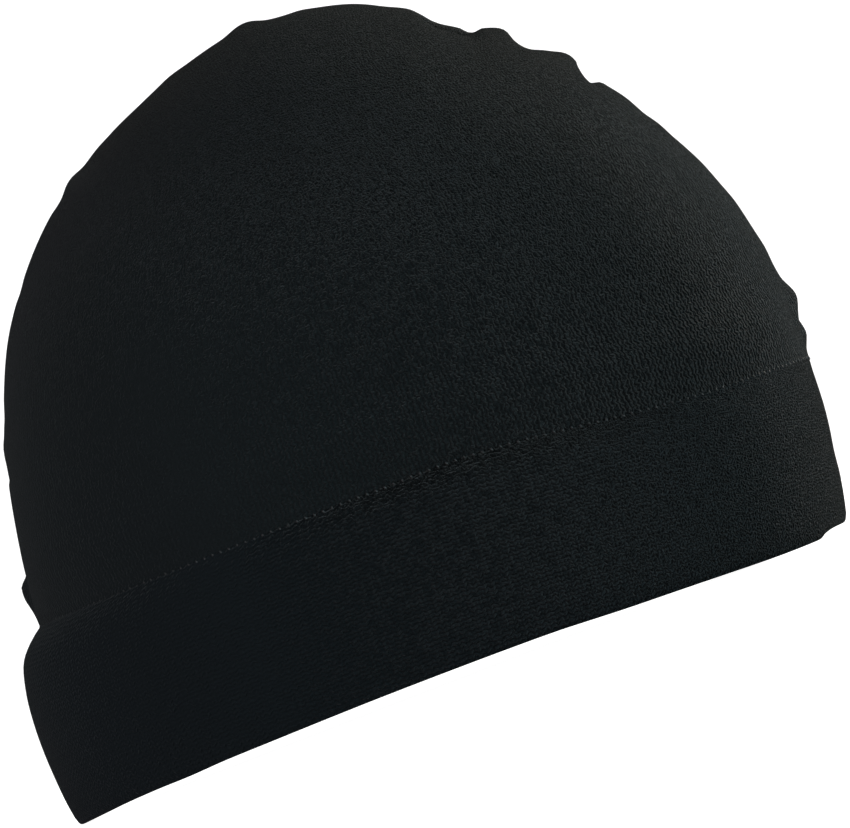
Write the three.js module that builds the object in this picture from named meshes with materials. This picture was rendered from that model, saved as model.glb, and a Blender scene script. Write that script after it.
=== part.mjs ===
// A plain stretch-knit skull cap, resting on its hem.
//
// Millimetres, +Z up. +X is the forehead, +Y the wearer's left. The hem lies in z = 0 and the
// origin is at the middle of the bottom of the cap's box.
//
// The cap is sewn from two crown panels, right and left, that meet in one seam from the front
// over the top to the back, and from a broad band that is folded double round the hem. Along
// the centre seam each panel rolls inwards and ends in a turned-in seam allowance, and the
// gathered cloth stands up in puckers. The band's own allowance stands up inside the crown.

import * as THREE from 'three';
import { mergeVertices } from 'three/addons/utils/BufferGeometryUtils.js';

// Cloth
const CLOTH = 1.1; // one layer of the knit
const BAND_CLOTH = 2.3; // the band, two layers
const SEAM_GAP = 0.3; // left between pieces that are sewn together

// Centre seam
const ROLL_DEPTH = 1.5; // how far the panels roll in at the seam
const ALLOWANCE = 4.5; // the turned-in cloth inside the roll
const ROLL_RAMP = [3, 13]; // mm from the band seam over which the roll grows
const ALLOWANCE_RAMP = [9, 18]; // and the allowance, which ends above the band's own
const PUCKER_REACH = 12; // how far the puckers run down the panels

// Crown
const CROWN_TOP = 164; // height of the cap
const CROWN_ROUND = 2.3; // superellipse exponent of a cross-section, 2 is an ellipse
const FULL_SECTION = 25; // sections shorter than this have the seam's roll scaled down
const BAND_HOLD = [0, 8]; // mm above the band seam over which the puckers may grow
const SIDE_FULLNESS = 0.9; // the crown blouses out this much just above the band seam
const SIDE_FULLNESS_AT = 11; // this far above it
const SIDE_FULLNESS_RAMP = [20, 70]; // on sections longer than this, so not at the two ends

// Band
const WIDEST_X = -6; // where the cap is widest
const OVAL_ROUND = 2.25; // superellipse exponent of the plan
const SEAM_HEIGHT_FRONT = 40.1;
const SEAM_HEIGHT_SIDE = 47.2;
const SEAM_HEIGHT_BACK = 46.2;
const SEAM_RISES = [80, 8]; // X where the band seam starts to rise from the front, and is up
const HEM_CORNER = 0.5; // the fold's flattened corners
const TONGUE_HEIGHT = 4.5; // the band's allowance, inside the crown
const TONGUE_BACK_EASE = 0.9; // more room for it at the back, where the crown leans in

// Steps of the faceted walls
const STATION_STEP = { plain: 8.4, puckered: 3.5 };
const PUCKERED = [
  { from: 0, to: 26 },
  { from: 83, to: 138 },
  { from: 168, to: 182 },
  { from: 227, to: 239 },
  { from: 294, to: 308 },
  { from: 326, to: 343 },
];
const BAND_STEPS = 76;
const SECTION_SAMPLES = 48;
const NORMAL_STEP = 0.01; // share of a section, or radians, over which a slope is taken

// The centre seam's outline from the band seam at the front, over the top, to the one at the back.
const SEAM_LINE = [
  { x: 101.3, z: 40.1 },
  { x: 101.8, z: 63.9 },
  { x: 96.1, z: 88.2 },
  { x: 84.7, z: 110.2 },
  { x: 71.0, z: 129.4 },
  { x: 53.1, z: 144.4 },
  { x: 32.3, z: 157.2 },
  { x: 8.3, z: 163.1 },
  { x: -15.6, z: 158.9 },
  { x: -38.8, z: 149.1 },
  { x: -58.9, z: 135.2 },
  { x: -74.8, z: 116.0 },
  { x: -85.3, z: 93.6 },
  { x: -91.2, z: 69.8 },
  { x: -94.1, z: 46.2 },
];

// Puckers along the centre seam: mm from its front end, half width, and how far the right and
// the left panel stand out there. The left panel puffs above the right one at 121 to 134.
const PUCKERS = [
  { at: 5, half: 7, right: 1.15, left: 0.9 },
  { at: 15, half: 6.5, right: 2.0, left: 1.6 },
  { at: 24, half: 6, right: -0.45, left: -0.3 },
  { at: 34, half: 10, right: -0.3, left: -0.3 },
  { at: 48, half: 7, right: -0.2, left: -0.4 },
  { at: 68, half: 5, right: 0.3, left: 0.0 },
  { at: 78, half: 7, right: 0.45, left: 0.2 },
  { at: 88.2, half: 4.8, right: -1.9, left: -1.8 },
  { at: 95, half: 6, right: 1.7, left: 1.1 },
  { at: 105, half: 6, right: -1.3, left: -1.4 },
  { at: 112, half: 6, right: 1.5, left: 0.3 },
  { at: 120.5, half: 5, right: -1.8, left: -1.4 },
  { at: 127, half: 6.5, right: -2.5, left: -1.3 },
  { at: 134, half: 6.5, right: 0.4, left: 0.9 },
  { at: 148, half: 11, right: 0.5, left: 0.4 },
  { at: 167, half: 6, right: -0.6, left: -0.6 },
  { at: 175, half: 7, right: 1.15, left: 0.7 },
  { at: 196, half: 6, right: 0.25, left: 0.0 },
  { at: 206, half: 10, right: -0.35, left: -0.35 },
  { at: 221, half: 5, right: 0.2, left: -0.2 },
  { at: 231, half: 5.5, right: 0.95, left: 0.5 },
  { at: 237, half: 4, right: -0.3, left: -0.2 },
  { at: 260, half: 4, right: -0.3, left: -0.3 },
  { at: 272, half: 14, right: 0.25, left: 0.1 },
  { at: 290, half: 4.5, right: -0.35, left: -0.3 },
  { at: 298.5, half: 4.5, right: 0.45, left: 0.3 },
  { at: 304, half: 5, right: -0.4, left: -0.4 },
  { at: 333, half: 5, right: 2.2, left: 1.9 },
];

// The rolled edge of a panel: mm from the seam, and the share of the roll's depth there.
const ROLL = [
  { aside: 0.0, drop: 1.0 },
  { aside: 0.5, drop: 0.45 },
  { aside: 1.4, drop: 0.1 },
  { aside: 2.8, drop: 0.0 },
];

// The roll's inner face, in the same terms.
const INNER_ROLL = { aside: 1.8, drop: 0.25 };

// Rows of a panel between its rolled edge, at 0, and the band seam, at 1.
const PANEL_ROWS = [0.07, 0.15, 0.25, 0.38, 0.52, 0.67, 0.82, 0.92, 1];

// The band's outer face: share of its height, and how far it stands from the origin at the
// front, the side and the back.
const BAND_LEVELS = [
  { share: 0.0, front: 95.9, side: 73.6, back: -102.4 },
  { share: 0.14, front: 97.3, side: 74.4, back: -103.4 },
  { share: 0.32, front: 98.4, side: 75.1, back: -103.9 },
  { share: 0.5, front: 99.2, side: 75.7, back: -104.05 },
  { share: 0.7, front: 100.0, side: 76.2, back: -103.1 },
  { share: 0.84, front: 100.8, side: 76.4, back: -101.6 },
  { share: 0.94, front: 101.2, side: 76.2, back: -98.0 },
  { share: 1.0, front: 101.3, side: 75.7, back: -94.1 },
];
const BAND_TOP = BAND_LEVELS[BAND_LEVELS.length - 1];

const seamCurve = new THREE.SplineCurve(SEAM_LINE.map((row) => new THREE.Vector2(row.x, row.z)));
seamCurve.arcLengthDivisions = 1200;
const SEAM_LENGTH = seamCurve.getLength();

const lerp = THREE.MathUtils.lerp;

function ramp(value, [from, to]) {
  const t = THREE.MathUtils.clamp((value - from) / (to - from), 0, 1);
  return t * t * (3 - 2 * t);
}

// A superellipse's coordinate from the cosine or sine of its angle.
function superPower(value, exponent) {
  return Math.sign(value) * Math.abs(value) ** (2 / exponent);
}

// Height of the band seam where it passes X.
function seamHeight(x) {
  const side = lerp(SEAM_HEIGHT_SIDE, SEAM_HEIGHT_BACK, ramp(x, [WIDEST_X, BAND_TOP.back]));
  return lerp(SEAM_HEIGHT_FRONT, side, ramp(x, SEAM_RISES));
}

// Plan point of an oval with its own front, side and back reach, at an angle from the forehead.
function ovalPoint(level, angle) {
  const reach = Math.cos(angle) >= 0 ? level.front - WIDEST_X : WIDEST_X - level.back;
  const x = WIDEST_X + reach * superPower(Math.cos(angle), OVAL_ROUND);
  return new THREE.Vector2(x, level.side * superPower(Math.sin(angle), OVAL_ROUND));
}

// The band seam at an angle from the forehead: the crown's lower edge, on its outer face.
function bandSeamPoint(angle) {
  const plan = ovalPoint(BAND_TOP, angle);
  return new THREE.Vector3(plan.x, plan.y, seamHeight(plan.x));
}

// Point and outward direction of the centre seam, in X and Z, at a distance from its front end.
function centreSeam(along) {
  const share = THREE.MathUtils.clamp(along / SEAM_LENGTH, 0, 1);
  const point = seamCurve.getPointAt(share);
  const tangent = seamCurve.getTangentAt(share);
  return { point, out: new THREE.Vector2(tangent.y, -tangent.x) };
}

// How far a panel stands out at the seam because of its puckers.
function pucker(along, side) {
  return PUCKERS.reduce((sum, row) => {
    const off = Math.abs(along - row.at) / row.half;
    return off < 1 ? sum + row[side] * Math.cos((Math.PI / 2) * off) ** 2 : sum;
  }, 0);
}

// Angle from the forehead of the band seam's point that a centre seam point is joined to.
function footAngle(along, top) {
  if (along <= 0) return 0;
  if (along >= SEAM_LENGTH) return Math.PI;
  const across = (BAND_TOP.front - top.x) / (BAND_TOP.front - BAND_TOP.back);
  const rise = top.y - lerp(SEAM_HEIGHT_FRONT, SEAM_HEIGHT_BACK, across);
  const reach = top.x >= WIDEST_X ? BAND_TOP.front - WIDEST_X : WIDEST_X - BAND_TOP.back;
  return Math.atan2(rise / (CROWN_TOP - SEAM_HEIGHT_SIDE), (top.x - WIDEST_X) / reach);
}

// One cross-section of the right half of the crown, as points from the centre seam down to the
// band seam, with the distance run along it.
function section(along) {
  const { point: top, out } = centreSeam(along);
  const foot = bandSeamPoint(footAngle(along, top));
  const points = [];
  const run = [];
  for (let i = 0; i <= SECTION_SAMPLES; i += 1) {
    const turn = (Math.PI / 2) * (1 - i / SECTION_SAMPLES);
    const x = lerp(foot.x, top.x, Math.sin(turn) ** 2);
    const y = -foot.y * superPower(Math.cos(turn), CROWN_ROUND);
    const z = lerp(foot.z, top.y, superPower(Math.sin(turn), CROWN_ROUND));
    points.push(new THREE.Vector3(x, y, z));
    run.push(i === 0 ? 0 : run[i - 1] + points[i].distanceTo(points[i - 1]));
  }
  return { out: new THREE.Vector3(out.x, 0, out.y), points, run, length: run[SECTION_SAMPLES] };
}

// Point of a section at a share of its length from the centre seam.
function sectionPoint(cut, share) {
  const target = THREE.MathUtils.clamp(share, 0, 1) * cut.length;
  let i = 1;
  while (i < SECTION_SAMPLES && cut.run[i] < target) i += 1;
  const span = cut.run[i] - cut.run[i - 1];
  const t = span > 0 ? (target - cut.run[i - 1]) / span : 0;
  return cut.points[i - 1].clone().lerp(cut.points[i], t);
}

// Outward direction of the crown at a share of a section's length from the centre seam, from
// that section and its two neighbours.
function skinNormal([before, cut, after], share) {
  const down = sectionPoint(cut, share + NORMAL_STEP).sub(sectionPoint(cut, share - NORMAL_STEP));
  const back = sectionPoint(after, share).sub(sectionPoint(before, share));
  const normal = back.cross(down);
  return normal.lengthSq() < 1e-9 ? cut.out.clone() : normal.normalize();
}

// How far the cloth stands out from the plain crown at a distance from the centre seam: its
// puckers, which die away down the panel, and the fullness just above the band seam.
function standsOut(cut, aside, puckered) {
  const fromBand = cut.length - aside;
  const fade = Math.exp(-((aside / PUCKER_REACH) ** 2)) * ramp(fromBand, BAND_HOLD);
  const swell = Math.sin(Math.PI * Math.min(fromBand / (2 * SIDE_FULLNESS_AT), 1)) ** 2;
  return puckered * fade + SIDE_FULLNESS * swell * ramp(cut.length, SIDE_FULLNESS_RAMP);
}

// The closed loop of one cross-section of a panel: its outer face from the end of the turned-in
// allowance to the band seam, then its inner face back. Built on the right and mirrored.
function panelLoop(along, side) {
  const places = [along - 1, along, along + 1];
  const near = places.map((at) => section(THREE.MathUtils.clamp(at, 0, SEAM_LENGTH)));
  const cut = near[1];
  const fromEnd = Math.min(along, SEAM_LENGTH - along);
  const scale = Math.min(1, cut.length / FULL_SECTION);
  const depth = ROLL_DEPTH * ramp(fromEnd, ROLL_RAMP);
  const allowanceEnd = depth + CLOTH + ALLOWANCE * ramp(fromEnd, ALLOWANCE_RAMP);
  const puckered = pucker(along, side);

  // A point of the panel under its outer face, and one of the turned-in cloth, both by their
  // distance from the seam and their depth.
  const skin = (aside, under) => {
    const share = cut.length > 0 ? aside / cut.length : 0;
    const lift = standsOut(cut, aside, puckered) - under;
    return sectionPoint(cut, share).addScaledVector(skinNormal(near, share), lift);
  };
  const turnedIn = (aside, under) => {
    const point = cut.points[0].clone().addScaledVector(cut.out, standsOut(cut, 0, puckered) - under);
    return point.setY(point.y - aside);
  };

  const rollEnd = ROLL[ROLL.length - 1].aside * scale;
  const rows = PANEL_ROWS.map((share) => lerp(rollEnd, cut.length, share));
  const outer = [
    turnedIn(0, allowanceEnd),
    turnedIn(0, depth),
    ...ROLL.slice(1).map((row) => skin(row.aside * scale, row.drop * depth)),
    ...rows.map((aside) => skin(aside, 0)),
  ];
  const inner = [
    turnedIn(CLOTH * scale, allowanceEnd),
    turnedIn(CLOTH * scale, depth + CLOTH),
    skin(INNER_ROLL.aside * scale, INNER_ROLL.drop * depth + CLOTH),
    skin(rollEnd, CLOTH),
    ...rows.map((aside) => skin(aside, CLOTH)),
  ];
  const mirror = side === 'left' ? -1 : 1;
  return [...outer, ...inner.reverse()].map((point) => point.setY(mirror * (point.y - SEAM_GAP / 2)));
}

// Outward direction of the band's plan at an angle from the forehead.
function planNormal(angle) {
  const along = ovalPoint(BAND_TOP, angle + NORMAL_STEP).sub(ovalPoint(BAND_TOP, angle - NORMAL_STEP));
  return new THREE.Vector3(along.y, -along.x, 0).normalize();
}

// The band's outer face at an angle from the forehead, from the hem to just under the crown.
function bandFace(angle) {
  const height = bandSeamPoint(angle).z - SEAM_GAP;
  return BAND_LEVELS.map((level) => {
    const plan = ovalPoint(level, angle);
    return new THREE.Vector3(plan.x, plan.y, level.share * height);
  });
}

// The closed loop of one cross-section of the band at an angle from the forehead: its outer face
// up from the hem, its allowance, and its inner face back down to the hem.
function bandLoop(angle) {
  const outward = planNormal(angle);
  const face = bandFace(angle);
  const foot = face[0];
  const top = face[face.length - 1];
  const moved = (point, aside, z) => point.clone().addScaledVector(outward, -aside).setZ(z);

  const back = Math.max(0, -Math.cos(angle)) ** 2;
  const tongueFace = CLOTH + SEAM_GAP + TONGUE_BACK_EASE * back;
  const tongue = [
    moved(top, tongueFace, top.z),
    moved(top, tongueFace, top.z + TONGUE_HEIGHT),
    moved(top, tongueFace + CLOTH, top.z + TONGUE_HEIGHT),
    moved(top, tongueFace + CLOTH, top.z - CLOTH),
  ];
  // Each row of the inner face lies the band's thickness in, square to the outer face's slope.
  const inner = face.slice(1, -1).map((point, i) => {
    const rise = face[i + 2].clone().sub(face[i]);
    const slope = Math.atan2(rise.dot(outward), rise.z);
    return moved(point, BAND_CLOTH * Math.cos(slope), point.z + BAND_CLOTH * Math.sin(slope));
  });
  return [
    moved(foot, HEM_CORNER, 0),
    moved(foot, 0, HEM_CORNER),
    ...face.slice(1),
    ...tongue,
    ...inner.reverse(),
    moved(foot, BAND_CLOTH, HEM_CORNER),
    moved(foot, BAND_CLOTH - HEM_CORNER, 0),
  ];
}

// Joins a row of closed loops into one closed body. A row that doesn't close on itself ends in
// loops that have shrunk to a line.
function bodyFromLoops(loops, closes) {
  const size = loops[0].length;
  const positions = loops.flat().flatMap((point) => [point.x, point.y, point.z]);
  const index = [];
  const last = closes ? loops.length : loops.length - 1;
  for (let i = 0; i < last; i += 1) {
    for (let j = 0; j < size; j += 1) {
      const a = i * size + j;
      const b = i * size + ((j + 1) % size);
      const c = ((i + 1) % loops.length) * size + ((j + 1) % size);
      const d = ((i + 1) % loops.length) * size + j;
      index.push(a, b, c, a, c, d);
    }
  }
  const geometry = new THREE.BufferGeometry();
  geometry.setAttribute('position', new THREE.Float32BufferAttribute(positions, 3));
  geometry.setIndex(index);
  return facingOut(withoutSlivers(mergeVertices(geometry, 1e-3)));
}

// Leaves out the triangles that shrank to a line where a panel runs out to its corner.
function withoutSlivers(geometry) {
  const index = geometry.index.array;
  const kept = [];
  for (let i = 0; i < index.length; i += 3) {
    const [a, b, c] = index.slice(i, i + 3);
    if (a !== b && b !== c && c !== a) kept.push(a, b, c);
  }
  geometry.setIndex(kept);
  return geometry;
}

// Turns a closed body's triangles round if they point inwards.
function facingOut(geometry) {
  const position = geometry.attributes.position;
  const index = geometry.index.array;
  const corners = [new THREE.Vector3(), new THREE.Vector3(), new THREE.Vector3()];
  let volume = 0;
  for (let i = 0; i < index.length; i += 3) {
    corners.forEach((corner, k) => corner.fromBufferAttribute(position, index[i + k]));
    volume += corners[0].dot(corners[1].cross(corners[2]));
  }
  if (volume < 0) geometry.setIndex(Array.from(index).reverse());
  geometry.computeVertexNormals();
  return geometry;
}

// Distances along the centre seam of a panel's cross-sections, closer where it is puckered.
function stations() {
  const marks = [0];
  let here = 0;
  while (here < SEAM_LENGTH) {
    const at = here;
    const puckered = PUCKERED.some((stretch) => at >= stretch.from && at < stretch.to);
    here += puckered ? STATION_STEP.puckered : STATION_STEP.plain;
    marks.push(here);
  }
  return marks.map((mark) => (mark * SEAM_LENGTH) / here);
}

function cloth(name, colour) {
  return new THREE.MeshStandardMaterial({ name, color: colour, roughness: 0.85, metalness: 0 });
}

function crownPanel(side) {
  const loops = stations().map((along) => panelLoop(along, side));
  const mesh = new THREE.Mesh(bodyFromLoops(loops, false), cloth('crown_knit', 0x14191a));
  mesh.name = `crown_${side}`;
  return mesh;
}

function band() {
  const loops = Array.from({ length: BAND_STEPS }, (_, i) => bandLoop((2 * Math.PI * i) / BAND_STEPS));
  const mesh = new THREE.Mesh(bodyFromLoops(loops, true), cloth('band_knit', 0x12171a));
  mesh.name = 'band';
  return mesh;
}

const cap = new THREE.Group();
cap.name = 'skull_cap';
cap.add(crownPanel('right'), crownPanel('left'), band());

export default cap;
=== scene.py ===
"""Looks of a stretch-knit skull cap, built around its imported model.

The part's frame: +X towards the forehead, +Y towards the wearer's left, +Z up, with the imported
model's hem in z = 0. Blender works in metres. The cap's own sizes are in millimetres, as they were
measured, and become metres where a mesh gets its points.
"""

import logging
import math
import random
from dataclasses import dataclass, field
from enum import Enum

import bmesh
import bpy
import numpy as np
from mathutils import Matrix, Vector


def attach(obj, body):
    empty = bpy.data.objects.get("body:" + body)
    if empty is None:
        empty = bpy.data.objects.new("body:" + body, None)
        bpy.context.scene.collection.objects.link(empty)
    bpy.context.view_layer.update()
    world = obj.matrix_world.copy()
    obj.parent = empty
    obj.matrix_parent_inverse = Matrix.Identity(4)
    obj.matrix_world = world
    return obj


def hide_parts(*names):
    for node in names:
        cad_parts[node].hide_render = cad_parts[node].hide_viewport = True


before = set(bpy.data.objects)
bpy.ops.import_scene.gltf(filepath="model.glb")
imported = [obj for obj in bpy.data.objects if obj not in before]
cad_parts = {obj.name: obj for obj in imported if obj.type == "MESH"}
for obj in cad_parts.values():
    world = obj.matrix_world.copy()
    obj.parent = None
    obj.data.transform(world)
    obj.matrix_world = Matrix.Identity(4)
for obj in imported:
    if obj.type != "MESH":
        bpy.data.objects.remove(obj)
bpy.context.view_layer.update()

LOG = logging.getLogger("skull_cap")
MM = 0.001
TINY = 1e-7
KNIT_UV = "knit"
UV_SPAN = 400.0  # mm of cloth across the whole of that UV map, which has 0 mm at its middle
# Mesh attribute of how deep each point lies in a seam, by which the knit finishes paint shade into the
# cloth's colour.
SEAM_SHADE_DEPTH = "seam_shade_depth"
MEAN_HEIGHT = 1.35  # mean of the knit pattern's height
HEIGHT_SPAN = (0.5, 2.2)  # its heights where the cloth is darkest and lightest
MERGE = 0.004  # mm within which a mesh's points become one
HOLLOW = Vector((0.0, 0.0, 0.05))  # a point inside the cap, in metres
RAISED = 1.65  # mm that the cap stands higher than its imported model, as its hem is not quite flat


class Side(Enum):
    """The wearer's side that a crown panel is on, with the sign of its Y."""

    RIGHT = -1
    LEFT = 1


def ramp(value: np.ndarray | float, start: float, end: float) -> np.ndarray | float:
    """Rises smoothly from 0 at start to 1 at end.

    Args:
        value: Where to read the ramp.
        start: Where it leaves 0.
        end: Where it reaches 1.

    Returns:
        The ramp's height, of value's own shape.
    """
    t = np.clip((value - start) / (end - start), 0.0, 1.0)
    return t * t * (3.0 - 2.0 * t)


def super_power(value: np.ndarray, exponent: float) -> np.ndarray:
    """A superellipse's coordinate from the cosine or sine of its angle."""
    return np.sign(value) * np.abs(value) ** (2.0 / exponent)


def spline(knots: np.ndarray, count: int) -> np.ndarray:
    """Points on the uniform Catmull-Rom curve through some knots.

    Args:
        knots: One row for each knot.
        count: How many points to give, first and last knot included.

    Returns:
        The points, one row each, evenly spaced in the curve's own parameter.
    """
    place = np.linspace(0.0, len(knots) - 1.0, count)
    at = np.minimum(place.astype(int), len(knots) - 2)
    t = (place - at)[:, None]
    before = knots[np.maximum(at - 1, 0)]
    here = knots[at]
    after = knots[at + 1]
    beyond = knots[np.minimum(at + 2, len(knots) - 1)]
    slope_here = (after - before) / 2.0
    slope_after = (beyond - here) / 2.0
    cubic = 2.0 * here - 2.0 * after + slope_here + slope_after
    square = -3.0 * here + 3.0 * after - 2.0 * slope_here - slope_after
    return cubic * t**3 + square * t**2 + slope_here * t + here


def run_along(points: np.ndarray) -> np.ndarray:
    """Distance run from the first point to each point of a line."""
    steps = np.linalg.norm(np.diff(points, axis=0), axis=1)
    return np.concatenate([[0.0], np.cumsum(steps)])


def read_at(place: np.ndarray, run: np.ndarray, table: np.ndarray) -> np.ndarray:
    """The rows of a table at some places between those that it is given for.

    Args:
        place: The places.
        run: The place of each row of the table, rising.
        table: The table.

    Returns:
        A row for each place.
    """
    return np.stack([np.interp(place, run, column) for column in table.T], axis=-1)


def along_line(line: np.ndarray, place: np.ndarray) -> np.ndarray:
    """Points of a line at some distances along it."""
    return read_at(place, run_along(line), line)


def unit(vectors: np.ndarray) -> np.ndarray:
    """The directions of some vectors, one for each row."""
    return vectors / np.linalg.norm(vectors, axis=-1, keepdims=True).clip(TINY)


def bell(
    value: np.ndarray | float, middle: float, half: np.ndarray | float, power: float = 2.0
) -> np.ndarray | float:
    """A bell curve of value: 1 at its middle, and flatter there the higher its power."""
    return np.exp(-(np.abs((value - middle) / half) ** power))


@dataclass(frozen=True)
class Pucker:
    """A place where the gathered cloth stands out or dips along the centre seam.

    Attributes:
        at: Distance along the seam from its front end, mm.
        half: Half of its length along the seam, mm.
        right: How far the right panel stands out there, mm.
        left: How far the left panel does, mm.
        reach: How far down the panel it carries, mm.
    """

    at: float
    half: float
    right: float
    left: float
    reach: float = 12.0


@dataclass(frozen=True)
class BandLevel:
    """A level of the band's outer face.

    Attributes:
        share: Share of the band's height.
        front: How far forward it stands, mm.
        side: Half its width, mm.
        back: Its rearmost place, mm.
    """

    share: float
    front: float
    side: float
    back: float


@dataclass(frozen=True)
class CapForm:
    """The cap's form, in millimetres.

    Attributes:
        cloth: Thickness of the crown's cloth.
        crown_top: Height of the crown's top.
        crown_round: Exponent of the crown's cross-sections.
        widest_x: Where the cap is widest.
        oval_round: Exponent of its ovals.
        seam_height_front: Height of the band seam at the forehead.
        seam_height_side: Its height at the sides.
        seam_height_back: Its height at the back.
        seam_rises: X between which the seam rises from the forehead's height to the sides'.
        hem_line: X and height of points of the hem.
        seam_line: X and Z of the centre seam's points, from its front end over the top to its back end.
        band_levels: The levels of the band's outer face, from the hem up.
        puckers: What is uneven along the centre seam.
    """

    cloth: float = 1.1
    crown_top: float = 164.0
    crown_round: float = 2.3
    widest_x: float = -6.0
    oval_round: float = 2.25
    seam_height_front: float = 40.1
    seam_height_side: float = 46.65
    seam_height_back: float = 46.2
    seam_rises: tuple[float, float] = (84.0, 7.0)
    hem_line: tuple[tuple[float, float], ...] = (
        (-108.0, 0.0),
        (-102.0, 0.0),
        (-94.0, 0.66),
        (-88.0, 1.2),
        (-80.0, 1.62),
        (-71.0, 1.82),
        (-62.0, 2.3),
        (-50.0, 2.55),
        (-36.0, 2.8),
        (-22.0, 2.95),
        (-6.0, 2.93),
        (8.0, 2.8),
        (20.0, 2.56),
        (28.0, 2.15),
        (38.0, 1.58),
        (50.0, 1.1),
        (62.0, 0.6),
        (70.0, 0.24),
        (78.0, 0.0),
        (84.5, 0.0),
        (87.0, 0.15),
        (88.2, 0.8),
        (89.4, 1.2),
        (91.5, 1.55),
        (96.0, 1.7),
        (104.0, 1.7),
    )
    seam_line: tuple[tuple[float, float], ...] = (
        (101.3, 40.1),
        (101.8, 63.9),
        (96.1, 88.2),
        (84.7, 110.2),
        (71.0, 129.4),
        (53.1, 144.4),
        (32.3, 157.2),
        (8.3, 163.1),
        (-15.6, 158.9),
        (-38.8, 149.1),
        (-58.9, 135.2),
        (-74.8, 116.0),
        (-85.3, 93.6),
        (-91.2, 69.8),
        (-94.1, 46.2),
    )
    band_levels: tuple[BandLevel, ...] = (
        BandLevel(0.0, 95.6, 73.6, -102.4),
        BandLevel(0.14, 97.0, 74.4, -103.4),
        BandLevel(0.28, 98.1, 75.0, -103.85),
        BandLevel(0.42, 98.8, 75.5, -104.05),
        BandLevel(0.56, 99.8, 75.9, -103.8),
        BandLevel(0.7, 100.5, 76.2, -103.0),
        BandLevel(0.84, 100.85, 76.4, -101.2),
        BandLevel(0.92, 101.0, 76.3, -98.5),
        BandLevel(1.0, 101.3, 75.7, -94.1),
    )
    puckers: tuple[Pucker, ...] = (
        Pucker(5.5, 6.5, 1.45, 1.15),
        Pucker(15, 5.8, 2.0, 1.6),
        Pucker(24, 6, -0.45, -0.3),
        Pucker(34, 10, -0.3, -0.3),
        Pucker(48, 7, -0.2, -0.4),
        Pucker(68, 5, 0.3, 0.0),
        Pucker(78, 7, 0.45, 0.2),
        Pucker(88.6, 4.2, -3.1, -3.1, 15.0),
        Pucker(95, 6, 1.7, 1.1),
        Pucker(105.5, 6, -1.9, -1.9, 15.0),
        Pucker(112, 6, 1.5, 0.3),
        Pucker(120.8, 4.8, -4.0, 0.0, 20.0),
        Pucker(127.0, 7.2, -4.3, 0.0, 20.0),
        Pucker(119.3, 3.2, 0.0, -1.15, 16.0),
        Pucker(123.5, 5, 0.0, -0.75, 16.0),
        Pucker(127.6, 4.2, 0.0, -0.75, 16.0),
        Pucker(135.5, 6.5, 0.5, 1.0),
        Pucker(148, 11, 0.5, 0.4),
        Pucker(166.5, 7, -1.0, -1.0),
        Pucker(175, 7, 1.15, 0.7),
        Pucker(196, 6, 0.25, 0.0),
        Pucker(206, 10, -0.35, -0.35),
        Pucker(221, 5, 0.2, -0.2),
        Pucker(231, 5.5, 0.95, 0.5),
        Pucker(237, 4, -0.3, -0.2),
        Pucker(260, 4, -0.3, -0.3),
        Pucker(272, 14, 0.25, 0.1),
        Pucker(290, 4.5, -0.35, -0.3),
        Pucker(298.5, 4.5, 0.45, 0.3),
        Pucker(303.2, 4, -1.3, -1.3),
        Pucker(332.4, 4.1, 2.4, 2.2),
        Pucker(337.4, 3.6, -3.4, -3.2),
    )

    @property
    def band_top(self) -> BandLevel:
        """The band's uppermost level, where the crown is sewn on."""
        return self.band_levels[-1]

    def seam_height(self, x: np.ndarray) -> np.ndarray:
        """Height of the band seam where it passes X.

        Args:
            x: Where to read it.

        Returns:
            The heights.
        """
        back = ramp(x, self.widest_x, self.band_top.back)
        behind = self.seam_height_side + (self.seam_height_back - self.seam_height_side) * back
        rise = ramp(x, *self.seam_rises)
        return self.seam_height_front + (behind - self.seam_height_front) * rise

    def oval(self, front: float, side: float, back: float, angle: np.ndarray) -> np.ndarray:
        """Plan points of an oval, by their angle from the forehead.

        Args:
            front: How far forward the oval stands.
            side: Half its width.
            back: Its rearmost place.
            angle: Angles in radians, 0 at the forehead and positive towards the left.

        Returns:
            X and Y of each point.
        """
        cosine = np.cos(angle)
        reach = np.where(cosine >= 0.0, front - self.widest_x, self.widest_x - back)
        x = self.widest_x + reach * super_power(cosine, self.oval_round)
        y = side * super_power(np.sin(angle), self.oval_round)
        return np.stack([x, y], axis=-1)

    def top_oval(self, angle: np.ndarray) -> np.ndarray:
        """Plan points of the band seam."""
        top = self.band_top
        return self.oval(top.front, top.side, top.back, angle)

    def centre_seam(self, samples: int = 1401) -> tuple[np.ndarray, np.ndarray]:
        """The centre seam's outline in X and Z, and the distance run along it."""
        points = spline(np.array(self.seam_line), samples)
        return points, run_along(points)

    def puckered(self, along: np.ndarray, aside: np.ndarray, side: Side) -> np.ndarray:
        """How far a panel stands out because of its puckers.

        Args:
            along: Distances along the centre seam, one for each row.
            aside: Distances from the seam, a row for each of them.
            side: The panel's side.

        Returns:
            The distances, mm.
        """
        total = np.zeros_like(aside)
        for row in self.puckers:
            height = row.right if side is Side.RIGHT else row.left
            off = np.minimum(np.abs(along - row.at) / row.half, 1.0)
            swell = height * np.cos(math.pi / 2.0 * off) ** 2
            total += swell[:, None] * np.exp(-((aside / row.reach) ** 2))
        return total


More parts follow.
